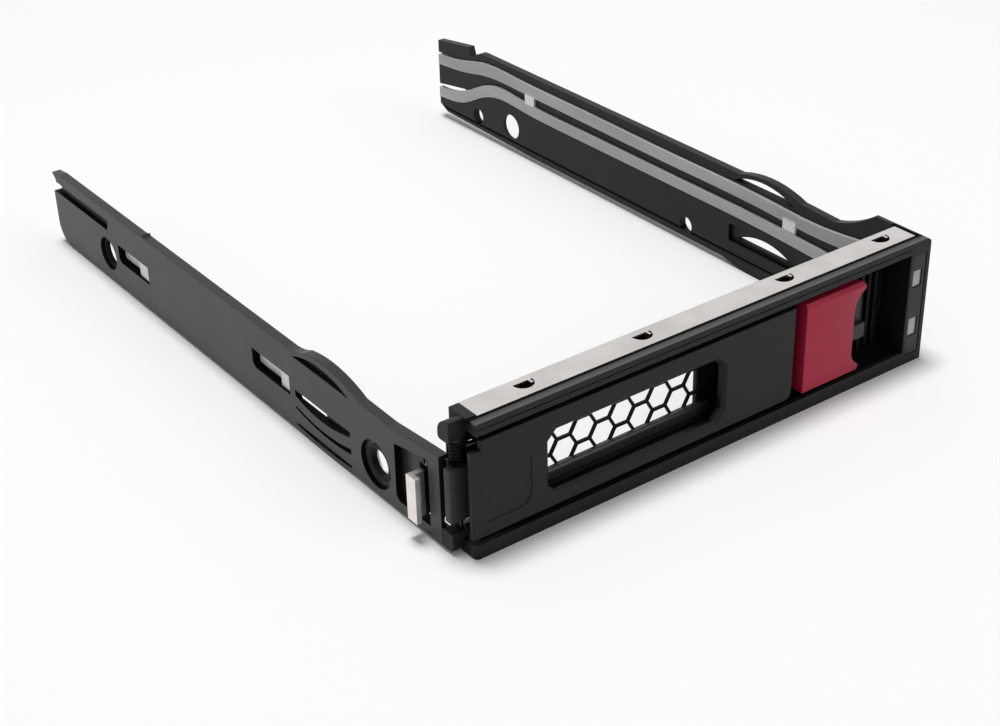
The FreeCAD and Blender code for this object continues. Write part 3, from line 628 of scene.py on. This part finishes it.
class Finishes:
    """All finishes of the caddy, built once."""

    def __init__(self) -> None:
        """Builds every material."""
        black = (0.0075, 0.0075, 0.0085)
        cloud = (0.0105, 0.0103, 0.0113)
        worn = (0.03, 0.029, 0.03)
        # The bezel, lever and rail paint shade as black into their recesses, within the reach given last.
        self.bezel = BezelPlastic(
            "black_bezel_moulding", black, cloud, worn, 0.46, specular=0.19, reach=7.0
        ).build()
        self.lever = LeverPlastic(
            "black_lever_moulding", black, cloud, worn, 0.42, grain=0.3, specular=0.18, reach=2.5
        ).build()
        self.rail = RailPlastic(
            "black_rail_moulding", black, cloud, worn, 0.4, grain=0.3, depth=0.008, specular=0.22, reach=1.6
        ).build()
        # Darker, duller copy of the black moulding: painted shade on the webs, collars and flanges that sit
        # inside.
        self.inner = MouldedPlastic(
            "shaded_inner_moulding", (0.005, 0.005, 0.0055), (0.008, 0.008, 0.0085), worn, 0.5, specular=0.12
        ).build()
        # Lighter copy of the black moulding: painted light on the vent sill, which stands deep in the vent.
        self.sill = MouldedPlastic(
            "lit_sill_moulding", (0.028, 0.028, 0.03), (0.036, 0.036, 0.038), (0.06, 0.06, 0.062), 0.42,
            grain=0.5, depth=0.03, specular=0.5,
        ).build()
        self.keeper = MouldedPlastic(
            "grey_latch_moulding", (0.03, 0.031, 0.031), (0.045, 0.046, 0.045), (0.12, 0.12, 0.12), 0.4,
            specular=0.25,
        ).build()
        self.button = MouldedPlastic(
            "magenta_button_moulding", (0.33, 0.0105, 0.037), (0.37, 0.015, 0.045), (0.5, 0.04, 0.09), 0.36,
            grain=0.18, depth=0.01, dust=0.02, dust_colour=(0.5, 0.2, 0.26), specular=0.2,
        ).build()
        self.panel = MouldedPlastic(
            "smoked_indicator_panel", (0.012, 0.012, 0.013), (0.016, 0.016, 0.017), (0.05, 0.05, 0.05),
            0.18, grain=0.6, depth=0.002, dust=0.03, specular=0.25,
        ).build()
        self.pipes = ClearPlastic(
            "frosted_light_pipe", (0.34, 0.34, 0.35), (0.44, 0.44, 0.45), (0.88, 0.88, 0.89), 0.32, 0.0,
            bridges=((117.4, 120.9), (32.4, 35.9)),
        ).build()
        steel = (0.62, 0.6, 0.58)
        smear = (0.52, 0.5, 0.48)
        self.strip = SheetSteel("brushed_shield_steel", steel, smear, 0.3, Brushing.ALONG_X).build()
        self.claw = ClawSteel(
            "pressed_claw_steel", (0.86, 0.82, 0.79), (0.72, 0.68, 0.65), 0.36, Brushing.ALONG_Z
        ).build()
        self.contact = SheetSteel(
            "bright_contact_steel", (0.64, 0.63, 0.6), smear, 0.42, Brushing.ALONG_Y
        ).build()
        self.pin = SheetSteel(
            "blackened_pin_steel", (0.045, 0.044, 0.042), (0.03, 0.03, 0.028), 0.35, Brushing.NONE
        ).build()
        self.pad = SheetSteel(
            "bright_pad_steel", (0.66, 0.65, 0.64), (0.56, 0.55, 0.54), 0.45, Brushing.ALONG_Z, line=0.2
        ).build()
        self.knuckle = MouldedPlastic(
            "black_knuckle_moulding", (0.035, 0.035, 0.037), (0.043, 0.043, 0.045), worn, 0.44, specular=0.2
        ).build()
        self.spring = SheetSteel(
            "blackened_spring_wire", (0.012, 0.0115, 0.011), (0.007, 0.007, 0.0065), 0.55, Brushing.NONE
        ).build()
        # The bright edge colour stands for bared steel on worn edges and also paints glints there.
        self.latch = PaintedSteel(
            "blackened_latch_steel", (0.022, 0.023, 0.022), (0.5, 0.5, 0.48), 0.36
        ).build()
        # Dark brown painted steel for the leaf in the claw's window.
        self.leaf = PaintedSteel("dark_brown_guard_steel", (0.02, 0.017, 0.015), (0.12, 0.1, 0.09), 0.4).build()
        self.mesh = PaintedSteel(
            "painted_vent_mesh", (0.004, 0.004, 0.004), (0.02, 0.02, 0.02), 0.5, 0.1
        ).build()


def dress(node: str, finish: bpy.types.Material) -> None:
    """Puts a finish on a piece of the construction model.

    Args:
        node: Name of the piece.
        finish: Its material.
    """
    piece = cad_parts[node]
    if not piece.material_slots:
        piece.data.materials.append(finish)
    for slot in piece.material_slots:
        slot.material = finish
    log.info("%s: %s", node, finish.name)


def choose(piece: bpy.types.Object) -> None:
    """Makes a piece the only selected and active one."""
    bpy.ops.object.select_all(action="DESELECT")
    bpy.context.view_layer.objects.active = piece
    piece.select_set(True)


def settle(piece: bpy.types.Object, body: Body, slot: str, *nodes: str) -> None:
    """Attaches a finished piece to its body and hides the pieces that it stands for.

    Args:
        piece: The piece.
        body: Body that it moves with.
        slot: Not used.
        nodes: Pieces of the construction model that it stands for.
    """
    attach(piece, body.value)
    if nodes:
        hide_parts(*nodes)
    log.info("%s: %d faces on %s", piece.name, len(piece.data.polygons), body.value)


def round_edges(piece: bpy.types.Object, radius: float, segments: int, sharp: float) -> None:
    """Rounds the sharp edges of the active piece.

    Args:
        piece: The piece.
        radius: Radius in millimetres.
        segments: Faces across an edge.
        sharp: Degrees from which an edge counts as sharp.
    """
    rounding = piece.modifiers.new("rounding", "BEVEL")
    rounding.width = radius * MM
    rounding.segments = segments
    rounding.limit_method = "ANGLE"
    rounding.angle_limit = math.radians(sharp)
    bpy.ops.object.modifier_apply(modifier="rounding")


def smooth_and_dress(piece: bpy.types.Object, smooth: float, finish: bpy.types.Material) -> None:
    """Shades the active piece smooth up to an angle in degrees and gives it its finish."""
    bpy.ops.object.shade_smooth_by_angle(angle=math.radians(smooth))
    piece.data.materials.clear()
    piece.data.materials.append(finish)


@dataclass
class SoftenedPiece:
    """Copy of a construction piece with its sharp edges rounded."""

    node: str
    radius: float
    segments: int = 2
    sharp: float = 28.0
    smooth: float = SMOOTH

    def build(self, finish: bpy.types.Material) -> bpy.types.Object:
        """Copies, joins and rounds the mesh.

        Args:
            finish: Material of the piece.

        Returns:
            The rounded piece.
        """
        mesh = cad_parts[self.node].data.copy()
        piece = bpy.data.objects.new(self.node + "_softened", mesh)
        bpy.context.scene.collection.objects.link(piece)
        choose(piece)
        bpy.ops.object.mode_set(mode="EDIT")
        bpy.ops.mesh.select_all(action="SELECT")
        bpy.ops.mesh.remove_doubles(threshold=1e-6)
        bpy.ops.mesh.customdata_custom_splitnormals_clear()
        bpy.ops.mesh.dissolve_limited(angle_limit=math.radians(FLAT))
        bpy.ops.object.mode_set(mode="OBJECT")
        if self.radius > 0:
            round_edges(piece, self.radius, self.segments, self.sharp)
        smooth_and_dress(piece, self.smooth, finish)
        return piece


def pick(piece: bpy.types.Object, wanted: Callable[[bpy.types.MeshPolygon], bool]) -> None:
    """Leaves a piece in edit mode with some of its faces selected.

    Args:
        piece: The piece, in object mode.
        wanted: Says of a face whether it is selected.
    """
    bpy.ops.object.mode_set(mode="EDIT")
    bpy.ops.mesh.select_mode(type="FACE")
    bpy.ops.mesh.select_all(action="DESELECT")
    bpy.ops.object.mode_set(mode="OBJECT")
    for face in piece.data.polygons:
        face.select = wanted(face)
    bpy.ops.object.mode_set(mode="EDIT")


@dataclass
class Fitting:
    """Small part that is started, cut, stepped and rounded; each step works on the active piece."""

    name: str

    def cut(self, point: Triple, away: Triple, keep: bool = False) -> None:
        """Cuts the part along a plane.

        Args:
            point: Point of the plane.
            away: Direction of the side that goes.
            keep: Whether both sides stay, with a new edge between them.
        """
        bpy.ops.object.mode_set(mode="EDIT")
        bpy.ops.mesh.select_all(action="SELECT")
        bpy.ops.mesh.bisect(
            plane_co=place(*point), plane_no=away, use_fill=not keep, clear_outer=not keep, threshold=1e-7
        )
        bpy.ops.object.mode_set(mode="OBJECT")

    def pull(self, low: Triple, high: Triple, facing: Triple, reach: float) -> None:
        """Extrudes the faces of a region.

        Args:
            low: Lowest corner of the region that holds the faces' middles.
            high: Its highest corner.
            facing: Direction that the faces look.
            reach: Millimetres of extrusion.
        """
        first, last = place(*low), place(*high)
        towards = Vector(facing)

        def wanted(face: bpy.types.MeshPolygon) -> bool:
            """Whether a face is in the region and looks that way."""
            within = all(first[axis] < face.center[axis] < last[axis] for axis in range(3))
            return within and face.normal.dot(towards) > 0.99

        pick(bpy.context.active_object, wanted)
        bpy.ops.mesh.extrude_region_move(TRANSFORM_OT_translate={"value": towards * reach * MM})
        bpy.ops.object.mode_set(mode="OBJECT")

    def end(self, finish: bpy.types.Material, rounding: float = 0.0, segments: int = 2) -> bpy.types.Object:
        """Rounds the edges and dresses the part.

        Args:
            finish: Material of the part.
            rounding: Radius of its edges in millimetres, 0 for none.
            segments: Faces across an edge.

        Returns:
            The part.
        """
        piece = bpy.context.active_object
        if rounding > 0:
            round_edges(piece, rounding, segments, BLOCK_EDGE)
        bpy.ops.object.mode_set(mode="EDIT")
        bpy.ops.mesh.select_all(action="SELECT")
        bpy.ops.mesh.remove_doubles(threshold=1e-7)
        bpy.ops.mesh.normals_make_consistent(inside=False)
        bpy.ops.object.mode_set(mode="OBJECT")
        smooth_and_dress(piece, SMOOTH, finish)
        return piece


@dataclass
class Block(Fitting):
    """Fitting that starts as a block between two corners."""

    low: Triple
    high: Triple

    def start(self) -> None:
        """Adds the block at its size and place."""
        bpy.ops.object.select_all(action="DESELECT")
        low, high = place(*self.low), place(*self.high)
        bpy.ops.mesh.primitive_cube_add(size=1.0, location=(low + high) / 2, scale=high - low)
        bpy.context.active_object.name = self.name
        bpy.ops.object.transform_apply(location=True, rotation=True, scale=True)


@dataclass
class Disc(Fitting):
    """Fitting that starts as a disc across the rail."""

    left: float
    right: float
    centre: tuple[float, float]
    radius: float
    corners: int = 48

    def start(self) -> None:
        """Adds the disc at its size and place."""
        bpy.ops.object.select_all(action="DESELECT")
        bpy.ops.mesh.primitive_cylinder_add(
            vertices=self.corners, radius=self.radius * MM, depth=(self.right - self.left) * MM,
            location=place((self.left + self.right) / 2, *self.centre), rotation=(0.0, math.pi / 2, 0.0),
        )
        bpy.context.active_object.name = self.name
        bpy.ops.object.transform_apply(location=True, rotation=True, scale=True)

    def bore(self, radius: float) -> None:
        """Insets both ends to that radius and bridges them, which leaves a ring."""
        pick(bpy.context.active_object, lambda face: abs(face.normal.x) > 0.9)
        bpy.ops.mesh.inset(thickness=(self.radius - radius) * MM)
        bpy.ops.mesh.bridge_edge_loops()
        bpy.ops.object.mode_set(mode="OBJECT")


@dataclass
class Bezel:
    """Bezel frame with the shield strip, the vent mesh, the indicators, the sill and the hinge web.

    All sizes are in millimetres, measured as place() says.
    """

    floor_high: float = 2.6
    mesh_front: float = 5.88
    sill_left: float = 12.6
    sill_right: float = 53.4
    sill_front: float = 4.75
    sill_high: float = 7.4
    sill_chamfer: float = 0.35
    web_left: float = -1.5
    web_right: float = 8.7
    web_front: float = 6.25
    web_rear: float = 7.1
    web_low: float = 16.6
    web_high: float = 23.5
    post_right: float = 1.9
    slit_low: float = 17.5
    slit_high: float = 18.6

    def sill(self, finishes: Finishes) -> None:
        """Adds the sill that stands before the foot of the vent mesh."""
        sill = Block(
            "vent_sill",
            (self.sill_left, self.sill_front, self.floor_high),
            (self.sill_right, self.mesh_front, self.sill_high),
        )
        sill.start()
        sill.cut((self.sill_left, self.sill_front + self.sill_chamfer, self.sill_high), (0.0, -1.0, 1.0))
        settle(sill.end(finishes.sill, 0.08), Body.CARRIER, "black_plastic")

    def hinge_web(self, finishes: Finishes) -> None:
        """Adds the slit web that runs from the back wall to a post at the hinge, below the top bar."""
        left, right, post = self.web_left, self.web_right, self.post_right
        front, rear = self.web_front, self.web_rear
        web = Block("hinge_web", (left, front, self.web_low), (right, rear, self.slit_low))
        web.start()
        web.cut((post, front, self.web_low), (1.0, 0.0, 0.0), keep=True)
        for start, stop in ((self.slit_low, self.slit_high), (self.slit_high, self.web_high)):
            web.pull(
                (left, front, start - MARGIN), (post, rear, start + MARGIN), (0.0, 0.0, 1.0), stop - start
            )
        web.pull(
            (post - MARGIN, front, self.slit_high), (post + MARGIN, rear, self.web_high),
            (1.0, 0.0, 0.0), right - post,
        )
        settle(web.end(finishes.inner, 0.1), Body.CARRIER, "black_plastic")

    def build(self, finishes: Finishes) -> None:
        """Dresses the pieces of the bezel."""
        dress("bezel_frame", finishes.bezel)
        dress("top_strip", finishes.strip)
        dress("vent_mesh", finishes.mesh)
        dress("led_panel", finishes.panel)
        dress("latch_keeper", finishes.keeper)
        pipes = SoftenedPiece("light_pipes", 0.3, 3).build(finishes.pipes)
        settle(pipes, Body.CARRIER, "clear_plastic", "light_pipes")
        self.sill(finishes)
        self.hinge_web(finishes)


@dataclass
class Rails:
    """Left rail with its contact strips, and what stands in its window, hump and holes.

    All sizes are in millimetres, measured as place() says.
    """

    inner: float = -1.6
    window_length: float = 13.3
    window_height: float = 3.9
    window_gap: float = 0.06
    web_left: float = -1.95
    pad_left: float = -2.45
    pad_right: float = -1.9
    pad_raised: float = 0.65
    pad_lowered: float = 0.8
    arch_left: float = -2.6
    arch_right: float = -2.2
    arch_front: float = 32.3
    arch_middle: float = 42.2
    arch_rear: float = 52.4
    arch_low: float = 14.5
    arch_centre: float = -9.75
    arch_radius: float = 27.6
    guard_left: float = -2.2
    guard_right: float = -1.65
    guard_front: float = 13.95
    guard_bend: float = 14.7
    guard_rear: float = 19.35
    guard_low: float = 2.75
    guard_step: float = 12.6
    guard_return: float = 0.6
    guard_rise: float = 2.5
    guard_lead: float = 1.25
    guard_rear_high: float = 13.7
    guard_slope: float = 0.18
    guard_corner: float = 0.7
    screw_hole: tuple[float, float] = (25.6, 6.4)
    bush_inside: float = 2.985

    def contact_pad(self, name: str, front: float, low: float, step: float, finishes: Finishes) -> None:
        """Adds the stepped pad that a contact strip shows in a window, and a dark web behind it that paints
        the shade at the back of the window.

        Args:
            name: Name of the pad.
            front: Front end of the window.
            low: Lower edge of the window.
            step: Length of the pad's raised end.
            finishes: The finishes.
        """
        gap = self.window_gap
        rear = front + self.window_length - gap
        high = low + self.window_height - gap
        web = Block(
            name + "_web", (self.web_left, front + gap, low + gap), (self.inner - 0.02, rear, high)
        )
        web.start()
        web.cut((self.inner, rear - 0.3, high), (0.0, 1.0, 1.0))
        settle(web.end(finishes.inner, 0.05), Body.CARRIER, "black_plastic")
        under = low + 0.9
        end = front + step
        pad = Block(name, (self.pad_left, front + 0.08, under), (self.pad_right, rear - 0.8, high - 0.05))
        pad.start()
        pad.cut((self.pad_left, end, under), (0.0, 1.0, 0.0), keep=True)
        pad.pull(
            (self.pad_left, front, under - MARGIN), (self.pad_right, end, under + MARGIN),
            (0.0, 0.0, -1.0), self.pad_lowered,
        )
        pad.pull(
            (self.pad_left - MARGIN, front, low - MARGIN), (self.pad_left + MARGIN, end, high),
            (-1.0, 0.0, 0.0), self.pad_raised,
        )
        settle(pad.end(finishes.pad, 0.12, 3), Body.CARRIER, "stainless")

    def crescent_web(self, finishes: Finishes) -> None:
        """Adds a black web behind the crescent of the rail's hump, which paints the shade inside the
        crescent.
        """
        centre = (self.arch_middle, self.arch_centre)
        web = Disc("crescent_web", self.arch_left, self.arch_right, centre, self.arch_radius, 200)
        web.start()
        web.cut((self.inner, self.arch_middle, self.arch_low), (0.0, 0.0, -1.0))
        web.cut((self.inner, self.arch_front, self.arch_low), (0.0, -1.0, 0.0))
        web.cut((self.inner, self.arch_rear, self.arch_low), (0.0, 1.0, 0.0))
        settle(web.end(finishes.inner, 0.06), Body.CARRIER, "black_plastic")

    def claw_guard(self, finishes: Finishes) -> None:
        """Adds the bent steel leaf that stands in the claw's window, behind the hook."""
        left, right = self.guard_left, self.guard_right
        front, bend, rear = self.guard_front, self.guard_bend, self.guard_rear
        low, step = self.guard_low, self.guard_step
        high = step + self.guard_rise
        leaf = Block("claw_guard", (left, front, low), (right, rear, step))
        leaf.start()
        leaf.cut((left, bend, low), (0.0, 1.0, 0.0), keep=True)
        for first, last, facing, reach in (
            ((right - MARGIN, front, low), (right + MARGIN, bend, step), (1.0, 0.0, 0.0), self.guard_return),
            ((left, front, step - MARGIN), (right, rear, step + MARGIN), (0.0, 0.0, 1.0), self.guard_rise),
            ((left, front - MARGIN, step), (right, front + MARGIN, high), (0.0, -1.0, 0.0), self.guard_lead),
        ):
            leaf.pull(first, last, facing, reach)
        leaf.cut((left, rear, self.guard_rear_high), (0.0, self.guard_slope, 1.0))
        leaf.cut((left, rear - self.guard_corner, low), (0.0, 0.7, -0.7))
        settle(leaf.end(finishes.leaf, 0.08), Body.CARRIER, "stainless")

    def screw_hole_rims(self, finishes: Finishes) -> None:
        """Adds the flange, the collar and the steel lining of the front screw hole."""
        for name, left, right, outer, bore, finish, slot in (
            ("screw_hole_flange", -2.7, -2.51, 3.44, 2.6, finishes.inner, "black_plastic"),
            ("screw_hole_collar", -2.52, -1.55, self.bush_inside, 2.6, finishes.inner, "black_plastic"),
            ("screw_hole_lining", -1.56, -1.26, self.bush_inside, 2.45, finishes.pad, "stainless"),
        ):
            rim = Disc(name, left, right, self.screw_hole, outer)
            rim.start()
            rim.bore(bore)
            settle(rim.end(finish), Body.CARRIER, slot)

    def bracket_tail(self, finishes: Finishes) -> None:
        """Adds the bracket's rear tail, which shows through the lens-shaped slot."""
        low, high = (-1.58, 38.6, 4.6), (-1.27, 44.4, 10.4)
        tail = Block("bracket_tail", low, high)
        tail.start()
        tail.cut((high[0], high[1], high[2] - 1.0), (0.0, 1.0, 1.0))
        settle(tail.end(finishes.contact, 0.06), Body.CARRIER, "stainless")

    def build(self, finishes: Finishes) -> None:
        """Dresses the rail and the strips, and adds what stands in its openings."""
        dress("left_rail", finishes.rail)
        self.contact_pad("rear_contact_pad", 108.6, 6.6, 4.6, finishes)
        self.contact_pad("middle_contact_pad", 53.6, 6.9, 3.6, finishes)
        self.crescent_web(finishes)
        self.claw_guard(finishes)
        self.screw_hole_rims(finishes)
        self.bracket_tail(finishes)
        for node in ("rear_contact", "middle_contact", "front_bracket"):
            dress(node, finishes.contact)


@dataclass
class Handle:
    """Lever with the claw, its rivets, the hinge and both springs."""

    knuckle_low: Triple = (-3.5, 3.5, 6.08)
    knuckle_high: Triple = (0.3, 5.2, 16.4)
    wire_smooth: float = 75.0

    def knuckle(self, finishes: Finishes) -> None:
        """Squares the hinge barrel, as moulded."""
        knuckle = Block("hinge_knuckle", self.knuckle_low, self.knuckle_high)
        knuckle.start()
        settle(knuckle.end(finishes.knuckle, 0.18, 3), Body.HANDLE, "black_plastic")

    def build(self, finishes: Finishes) -> None:
        """Dresses the lever and its pieces."""
        dress("lever", finishes.lever)
        self.knuckle(finishes)
        dress("claw", finishes.claw)
        dress("claw_rivets", finishes.pin)
        dress("hinge_pin", finishes.pin)
        for node, body in (("hinge_spring", Body.CARRIER), ("button_spring", Body.HANDLE)):
            wire = SoftenedPiece(node, 0.0, smooth=self.wire_smooth).build(finishes.spring)
            settle(wire, body, "spring_steel", node)


@dataclass
class Button:
    """Release button with its latch plate."""

    rounding: float = 0.3

    def build(self, finishes: Finishes) -> None:
        """Rounds the cap and dresses the plate."""
        cap = SoftenedPiece("release_button", self.rounding, 3).build(finishes.button)
        settle(cap, Body.BUTTON, "magenta_plastic", "release_button")
        dress("latch_plate", finishes.latch)


@dataclass
class Studio:
    """Pale floor, soft light and the camera, in metres."""

    floor_size: float = 8.0
    floor_shade: float = 0.92
    floor_lift: float = 0.02
    sky: float = 0.28
    key_watts: float = 9.7
    key_place: Triple = (-0.03, 0.07, 1.15)
    key_size: float = 0.28
    fill_watts: float = 1.9
    fill_place: Triple = (0.3, -0.95, 0.6)
    fill_size: float = 0.7
    camera_place: Triple = (-0.184358, -0.272452, 0.175394)
    camera_turn: Triple = (59.6264, 1.3215, -36.6163)
    lens: float = 65.071
    sensor: float = 36.0

    def floor(self) -> None:
        """Lays the floor."""
        bpy.ops.object.select_all(action="DESELECT")
        bpy.ops.mesh.primitive_plane_add(size=self.floor_size, location=(0.0, 0.0, 0.0))
        ground = bpy.context.active_object
        ground.name = "floor"
        graph = Graph(bpy.data.materials.new("pale_floor"))
        shade = graph.blend(
            graph.noise(400.0, 2.0), (self.floor_shade,) * 3, (self.floor_shade * 0.985,) * 3
        )
        rays = graph.node("ShaderNodeLightPath")
        lift = Value(graph, rays.outputs["Is Camera Ray"]) * self.floor_lift
        ground.data.materials.append(graph.finish(
            Base_Color=shade, Roughness=0.9, Specular_IOR_Level=0.2, Emission_Color=(1.0, 1.0, 1.0),
            Emission_Strength=lift,
        ))

    def light(self) -> None:
        """Sets the sky and two soft lamps."""
        world = bpy.data.worlds.new("soft_room")
        bpy.context.scene.world = world
        graph = Graph(world)
        rays = graph.node("ShaderNodeLightPath")
        camera, glossy, clear = (
            Value(graph, rays.outputs[name])
            for name in ("Is Camera Ray", "Is Glossy Ray", "Is Transmission Ray")
        )
        soft = graph.node("ShaderNodeBackground", {}, {"Color": (1.0, 1.0, 1.0), "Strength": self.sky})
        white = graph.node("ShaderNodeBackground", {}, {"Color": (0.98, 0.98, 0.985), "Strength": 1.0})
        mixed = graph.node(
            "ShaderNodeMixShader", {},
            {0: camera.larger(glossy).larger(clear), 1: soft.outputs[0], 2: white.outputs[0]},
        )
        graph.node("ShaderNodeOutputWorld", {}, {"Surface": mixed.outputs[0]})
        self.lamp("key_lamp", self.key_place, self.key_size, self.key_watts)
        self.lamp("fill_lamp", self.fill_place, self.fill_size, self.fill_watts)

    def lamp(self, name: str, where: Triple, size: float, watts: float) -> None:
        """Hangs a square soft lamp that faces the caddy.

        Args:
            name: Name of the lamp.
            where: Its place in metres.
            size: Length of its side in metres.
            watts: Its power.
        """
        data = bpy.data.lights.new(name, "AREA")
        data.shape = "SQUARE"
        data.size = size
        data.energy = watts
        lamp = bpy.data.objects.new(name, data)
        lamp.location = where
        lamp.rotation_euler = (-Vector(where)).to_track_quat("-Z", "Y").to_euler()
        bpy.context.scene.collection.objects.link(lamp)

    def camera(self) -> None:
        """Sets the camera at the photograph's place."""
        data = bpy.data.cameras.new("camera")
        data.lens = self.lens
        data.sensor_width = self.sensor
        data.clip_start = 0.01
        data.clip_end = 50.0
        camera = bpy.data.objects.new("camera", data)
        camera.location = self.camera_place
        camera.rotation_euler = Euler([math.radians(angle) for angle in self.camera_turn], "XYZ")
        bpy.context.scene.collection.objects.link(camera)
        bpy.context.scene.camera = camera

    def build(self) -> None:
        """Builds the studio."""
        self.camera()
        self.floor()
        self.light()
        bpy.context.scene.view_settings.view_transform = "Standard"


def main() -> None:
    """Builds the caddy's pieces and the studio."""
    logging.basicConfig(level=logging.INFO, format="%(message)s")
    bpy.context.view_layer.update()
    finishes = Finishes()
    for part in (Bezel(), Rails(), Handle(), Button()):
        part.build(finishes)
        log.info("built %s", type(part).__name__)
    Studio().build()


if __name__ == "__main__":
    main()
